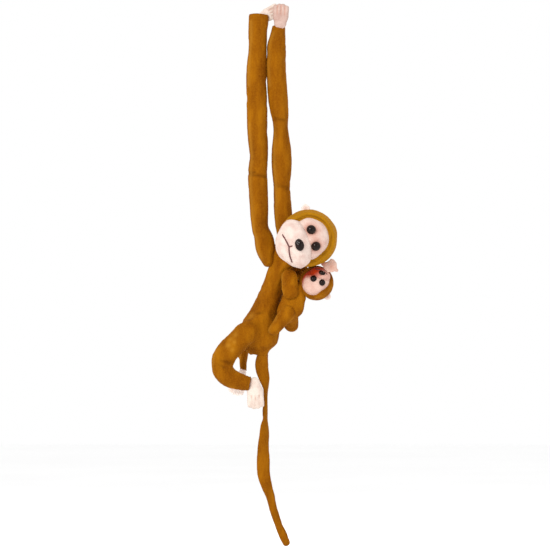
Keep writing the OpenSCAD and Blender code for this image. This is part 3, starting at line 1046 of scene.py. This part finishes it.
def eye(face, head, node, radius, depth, reach):
    """A safety eye: a glossy dome with a faint groove round it, pulled in so that the face dips."""
    at = middle(node)
    out = unit(at - head.centre)
    side = unit(np.cross(out, (0, 0, 1)))
    axes = (side, np.cross(out, side), out)
    dome = ball(at - out * radius * 0.15, (radius, radius, radius * 0.92), axes, 24, 40)
    obj = new_object(node + "_dome", *dome, BLACK)
    press(obj, ring_about(at - out * radius * 0.35, out, radius * 1.02, 40), 0.0003, 0.0006, 0)
    stands_for(obj, [node], head.body)
    co = points_of(face)
    dip = np.exp(-((np.linalg.norm(co - at, axis=1) / reach) ** 2))
    move_points(face, co - out * (depth * dip)[:, None])
    return at


def muzzle(node, head, centre, radii, seam, material, taper=0.0):
    """The stuffed muzzle: a wide cushion with a seam up its middle, narrower by the taper at its chin."""
    axes = (head.front, head.crown, head.right)
    cushion = ball(head.at(*centre), mm(radii[1], radii[2], radii[0]), axes, 30, 40)
    obj = new_object(node + "_plush", *cushion, material)
    co = points_of(obj)
    right, _front, crown = head.local(co)
    chin = np.clip((centre[2] - crown) / radii[2], 0, 1)
    co = co - ((right - centre[0]) * taper * chin * MM)[:, None] * head.right
    move_points(obj, co)
    path = [head.at(*p) for p in seam]
    stuff(obj, near_path(co, path) < 0.003, 0.0018, 0.02)
    subdivide(obj)
    lumps(obj, 0.0009, 0.016, 41)
    lumps(obj, 0.0002, 0.0035, 42)
    # painted shade along the seam
    press(obj, path, 0.0011, 0.0018, 0.35)
    stands_for(obj, [node], head.body)
    return obj


def on_skin(obj, origin, direction):
    """Where a line from outside meets a piece's skin, and the skin's outward direction there."""
    depsgraph = bpy.context.evaluated_depsgraph_get()
    hit, where, normal, _ = obj.evaluated_get(depsgraph).ray_cast(Vector(origin), Vector(direction))
    return (np.array(where), np.array(normal)) if hit else (None, None)


def stitched_line(name, skin, head, points, radius, nodes):
    """Embroidery: short slanted stitches laid along a line on the skin."""
    shapes, feet = [], []
    for r, _, c in smooth_rows([[r, 0, c] for r, c in points], 2.4):
        where, normal = on_skin(skin, head.at(r, 90, c), -head.front)
        if where is not None:
            feet.append((where, normal))
    for (a, na), (b, nb) in zip(feet[:-1], feet[1:]):
        lean = 0.25 * radius * np.cross(unit(b - a), na)
        start = a + na * radius * 0.25 - lean - (b - a) * 0.25
        end = b + nb * radius * 0.25 + lean + (b - a) * 0.25
        bow = (start + end) / 2 + na * radius * 0.45
        rows = smooth_rows([np.r_[p, [radius, radius, 0]] for p in (start, bow, end)], radius * 0.8)
        shapes.append(tube(domed(rows, radius * 0.7, radius * 0.7, 3), 10))
    obj = joined(name, shapes, THREAD)
    if nodes:
        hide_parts(*nodes)
    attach(obj, head.body)


def nose(node, skin, head, place, half_width, half_height):
    """The nose: a glossy oval button with two shallow nostrils."""
    where, out = on_skin(skin, head.at(place[0], 90, place[1]), -head.front)
    out = unit(out * 0.5 + head.front * 0.5)
    side = unit(head.right - out * (head.right @ out))
    axes = (np.cross(out, side), out, side)
    radii = (half_height, half_height * 0.85, half_width)
    obj = new_object(node + "_button", *ball(where + out * half_height * 0.2, radii, axes, 24, 32), BLACK)
    for way in (-1, 1):
        spot = where + side * way * half_width * 0.42 + out * half_height * 0.9
        spot -= axes[0] * half_height * 0.25
        press(obj, [spot, spot], half_height * 0.16, half_height * 0.3, 0)
    stands_for(obj, [node], head.body)


def ear(node, head, spread, thick, material, shift, root=None, tip=None):
    """A round ear, cupped in front, with a stuffed rim.

    It may have a tip, and a root gathered into the hood. shift, root and tip are in mm.
    """
    at = middle(node) + mm(*shift)
    out = unit((at - head.centre) * np.array([1, 0, 1]))
    facing = head.front
    side = np.cross(facing, out)
    base = at - out * spread * 0.25
    rim = []
    for t in np.radians(np.linspace(-40, 220, 13)):
        at_rim = base + out * spread * math.sin(t) * 1.05 + side * spread * math.cos(t) + facing * 0.0006
        rim.append(np.r_[at_rim, mm(2.3, 2.3), 0])
    rows = smooth_rows(rim, 0.002)
    cup = base + out * spread * 0.1 - facing * thick * 0.1
    shapes = [
        tube(domed(rows, 0.002, 0.002, 3), 12, facing),
        ball(cup, (spread, spread, thick * 0.5), (side, out, facing)),
    ]
    if root:
        shapes.append(capsule(base, base + mm(*root), 0.0045, 0.0036, 0.7))
    if tip:
        shapes.append(capsule(base, base + mm(*tip), spread * 0.6, 0.0030, 0.5))
    obj = joined(node + "_plush", shapes, material)
    remesh(obj, 0.0013)
    relax(obj, 4)
    lumps(obj, PILE, 0.003, 51)
    hollow = base + out * spread * 0.3 + facing * thick * 0.4
    blush_round(obj, hollow, spread * 0.6, 0.55)
    # painted shade: the root reddens where it gathers into the hood
    if root:
        blush_round(obj, base + mm(*root), 0.006, 1.0)
    stands_for(obj, [node], head.body)


def mother_head():
    # the plush stands a little outside the head that the eyes and muzzle are set on
    head = Head("head", pivot["neck"], MOTHER_TURN, 0.0433)
    skull = Head("head", pivot["neck"] + mm(0.8, 0, 0.4), MOTHER_TURN, 0.0436)
    shell = hood("head_hood_plush", skull, mother_opening, 0.0013, HOOD_BROWN)
    right, front, crown = skull.local(points_of(shell))
    stuff(shell, (np.hypot(right, crown) < 35) & (front > 0), 0.0015, 0.02)
    lumps(shell, 0.0012, 0.02, 61)
    lumps(shell, PILE, 0.004, 62)
    # painted shade along the line where the hood meets the face
    press(shell, opening_rim(skull, mother_opening), 0.0, 0.0016, 0.9)
    stands_for(shell, ["head_hood", "head_filling"], "head")

    face = face_skin("face_panel_plush", skull, mother_opening, FACE)
    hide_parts("face_panel")
    eyes = []
    for node in ("eye_left", "eye_right"):
        apart = np.linalg.norm(points_of(face) - middle(node), axis=1)
        paint(face, "crease", 0.75 * np.exp(-((apart / 0.0088) ** 4)))
        eyes.append(eye(face, head, node, EYE_RADIUS, 0.0022, 0.011))
    lumps(face, 0.0006, 0.014, 63)
    for at in eyes:
        blush_round(face, at, 0.0145, 0.75)
    blush_round(face, (eyes[0] + eyes[1]) / 2, 0.008, 0.5)
    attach(face, "head")

    seam = [(5, 47, -38), (5, 52, -33), (5, 53, -28)]
    centre, radii = (3.0, 26, -23.6), (38.2, 27.5, 28.6)
    snout = muzzle("muzzle", head, centre, radii, seam, FACE, 0.32)
    # painted shade: a pinkish band along the crease where the muzzle meets the face
    crease = [(-26, 27, 1), (-16, 36, 3), (-4, 38, 2.5), (6, 39, 2), (18, 36, 2), (28, 28, 0)]
    apart = near_path(points_of(snout), [head.at(*p) for p in crease])
    paint(snout, "blush", 0.5 * np.exp(-((apart / 0.004) ** 2)))
    nose("nose", snout, head, (6.4, -15.9), 0.0095, 0.0069)
    left = [(4.8, -31.8), (-2, -33.0), (-9, -34.6), (-15.0, -36.4)]
    right_side = [(4.8, -31.8), (12, -33.6), (20, -34.4), (27.9, -33.7)]
    stem = [(4.8, -31.8), (4.7, -27.2)]
    stitched_line("mouth_left", snout, head, left, 0.00095, ["mouth_thread"])
    stitched_line("mouth_right", snout, head, right_side, 0.00095, [])
    stitched_line("mouth_stem", snout, head, stem, 0.0009, [])
    shift, tip = (-1.2, 0, -2.4), (-0.8, 0, 6.5)
    ear("ear_left", head, 0.0053, 0.006, LIT_EAR, shift, None, tip)
    shift, root, tip = (-0.5, 0, -1.0), (-11, 1, 2.5), (10.6, 0, -8.0)
    ear("ear_right", head, 0.0088, 0.006, SHADED_EAR, shift, root, tip)


mother_head()


def baby_opening(turn):
    """The baby's hood shows only as a crescent beside its crown."""
    return 0.0252 - 0.0086 * bump_at(turn, 150, 48)


def baby_head():
    head = Head("baby_head", pivot["baby_neck"], BABY_TURN, 0.0267)
    shell = hood("baby_hood_plush", head, baby_opening, 0.0008, BABY_BROWN)
    lumps(shell, 0.0009, 0.014, 71)
    lumps(shell, PILE, 0.0035, 72)
    # painted shade along the line where the hood meets the face
    press(shell, opening_rim(head, baby_opening), 0.0, 0.0012, 0.9)
    # the hood darkens in front, up and to the left, where the mother's head shades it
    co = points_of(shell) - head.centre
    shade = 0.8 * np.clip((co[:, 2] - co[:, 0]) / 0.030 - 0.45, 0, 1)
    paint(shell, "crease", shade * (co[:, 1] < -0.004))
    stands_for(shell, ["baby_hood", "baby_head_filling"], "baby_head")
    face = face_skin("baby_face_plush", head, baby_opening, BABY_FACE)
    for node in ("baby_eye_left", "baby_eye_right"):
        eye(face, head, node, BABY_EYE_RADIUS, 0.0014, 0.0075)
    lumps(face, 0.0005, 0.01, 73)
    # painted shade: the face reddens under the mother's chin and along its left edge
    co = (points_of(face) - head.centre) / MM
    left, up = -co[:, 0], co[:, 2]
    shade = np.clip((up - 6) / 7, 0, 1) * np.clip((left + 10) / 8, 0, 1)
    shade += np.clip((left + 0.3 * up - 19) / 4, 0, 1)
    paint(face, "blush", shade)
    stands_for(face, ["baby_face_panel"], "baby_head")
    seam = [(0, 24, -19), (0, 25, -15)]
    centre, radii = (0, 14, -14.5), (16, 11, 11)
    snout = muzzle("baby_muzzle", head, centre, radii, seam, BABY_FACE)
    right, _, crown = head.local(points_of(snout))
    # painted shade: the muzzle reddens toward its right and away from its crown, under the mother's head
    paint(snout, "blush", np.clip(0.5 + right / 16 - (crown + 14) / 30, 0.2, 1))
    nose("baby_nose", snout, head, (-1.2, -17.6), 0.0056, 0.0031)
    mouth = [(-8.5, -19.5), (-3, -20.8), (3, -20.8), (8.5, -19.2)]
    stitched_line("baby_mouth", snout, head, mouth, 0.0007, ["baby_mouth_thread"])
    ear("baby_ear_left", head, 0.0038, 0.0045, LIT_EAR, (-0.8, 0, 0.8))
    # the right ear lies flat against the back of the hood
    folded = middle("baby_ear_right")
    out = unit(folded - head.centre)
    side = unit(np.cross(out, (0, 1, 0)))
    flap = ball(folded, mm(6.6, 6.6, 2.2), (side, np.cross(out, side), out), 20, 28)
    obj = new_object("baby_ear_right_plush", *flap, SHADED_EAR)
    lumps(obj, 0.0004, 0.004, 74)
    stands_for(obj, ["baby_ear_right"], "baby_head")


baby_head()

# ---- baby


def baby_part(name, shapes, nodes, seed, edge=0.0):
    """A soft part of the baby, sewn from two halves. It rides on the body of its own name."""
    obj = joined(name + "_skin", shapes, BABY_BROWN)
    remesh(obj, 0.0026)
    relax(obj, 5)
    co = points_of(obj)
    belt = abs(co[:, 1] - co[:, 1].mean()) < 0.0016
    stuff(obj, belt, 0.0016, 0.04)
    subdivide(obj)
    lumps(obj, 0.0010, 0.013, seed)
    lumps(obj, PILE, 0.0035, seed + 1)
    # painted highlight on the left edge
    if edge:
        painted_edge_highlight(obj, edge)
    stands_for(obj, nodes, name)


def baby_limb(name, pivot_name, start, end, radii, seed, flat=1.0, edge=0.0):
    """A limb between two points given in mm from its joint."""
    joint = pivot[pivot_name]
    shape = capsule(joint + mm(*start), joint + mm(*end), *radii, flat)
    baby_part(name, [shape], [name], seed, edge)


chest_and_seat = [
    capsule(body(33, -20, -58), body(19, -20, -93), 0.0158, 0.0172),
    ball(body(31, -25, -84), mm(15, 12, 17)),
    ball(body(35, -24, -72), mm(13.5, 12, 13)),
]
baby_part("baby_trunk", chest_and_seat, ["baby_trunk_plush", "baby_trunk_filling"], 81)
near_arm, near_leg = (0.0132, 0.0130), (0.0125, 0.0092)
far_arm, far_leg = (0.009, 0.0088), (0.0118, 0.0112)
baby_limb("baby_arm_near", "baby_shoulder_near", (-7.5, 2, 4), (-9, 1, 26), near_arm, 83, 0.75, 0.45)
baby_limb("baby_arm_far", "baby_shoulder_far", (0, 0, 0), (1, 19, 30), far_arm, 85)
baby_limb("baby_leg_near", "baby_hip_near", (1, 0, 2), (-21, 2, -25), near_leg, 87, edge=0.6)
baby_limb("baby_leg_far", "baby_hip_far", (0, 0, 0), (1, 21, -18), far_leg, 89)

# ---- inner pieces that keep their CAD shape


for name in frame["nodes"]:
    if "washer" in name or name in ("hook_patch", "loop_patch"):
        materials = frame["nodes"][name].data.materials
        materials.clear()
        materials.append(WASHER if "washer" in name else TAPE)

# ---- camera, lights and floor

FLOOR_DROP = 0.06  # the toy hangs clear of the floor
FLOOR_HALF = 6


def camera():
    """Level, looking along +Y, with the toy filling the frame from fingertips to tail tip."""
    low, high = (np.array(c) for c in cad_box)
    data = bpy.data.cameras.new("camera")
    data.lens = 300
    data.sensor_width = 36
    view_height = (high[2] - low[2]) * 1.005
    distance = view_height / 2 * data.lens / (data.sensor_width / 2)
    obj = bpy.data.objects.new("camera", data)
    obj.location = (0, -distance, (high[2] + low[2]) / 2 + 0.0008)
    obj.rotation_euler = (math.radians(90), 0, 0)
    scene.collection.objects.link(obj)
    scene.camera = obj


def area_light(name, at, aim, size, power, colour=(1, 1, 1)):
    data = bpy.data.lights.new(name, "AREA")
    data.size = size
    data.energy = power
    data.color = colour
    obj = bpy.data.objects.new(name, data)
    obj.location = at
    obj.rotation_euler = (Vector(aim) - Vector(at)).to_track_quat("-Z", "Y").to_euler()
    scene.collection.objects.link(obj)


def studio():
    middle_z = (cad_box[0][2] + cad_box[1][2]) / 2
    aim = (0, 0, middle_z)
    area_light("key", (-1.1, -1.9, middle_z + 1.1), aim, 0.9, 36, (1, 0.98, 0.95))
    area_light("fill", (1.7, -1.6, middle_z + 0.2), aim, 1.4, 6)
    area_light("rim", (0.9, 1.6, middle_z + 0.9), aim, 1.0, 16, (1, 0.95, 0.86))
    world = bpy.data.worlds.new("world")
    world.use_nodes = True
    background = world.node_tree.nodes["Background"]
    background.inputs["Color"].default_value = (1, 1, 1, 1)
    background.inputs["Strength"].default_value = 1.0
    scene.world = world
    scene.view_settings.view_transform = "Standard"
    floor_material = Nodes("floor")
    floor_material.set(Roughness=0.9)
    tones = [(0.3, (0.96, 0.96, 0.96)), (0.7, (0.98, 0.98, 0.98))]
    material = floor_material.finish(floor_material.ramp(floor_material.noise(3, 2), tones))
    z = cad_box[0][2] - FLOOR_DROP
    corners = [(x * FLOOR_HALF, y * FLOOR_HALF, z) for x, y in ((-1, -1), (1, -1), (1, 1), (-1, 1))]
    new_object("floor", corners, [(0, 1, 2, 3)], material)


camera()
studio()
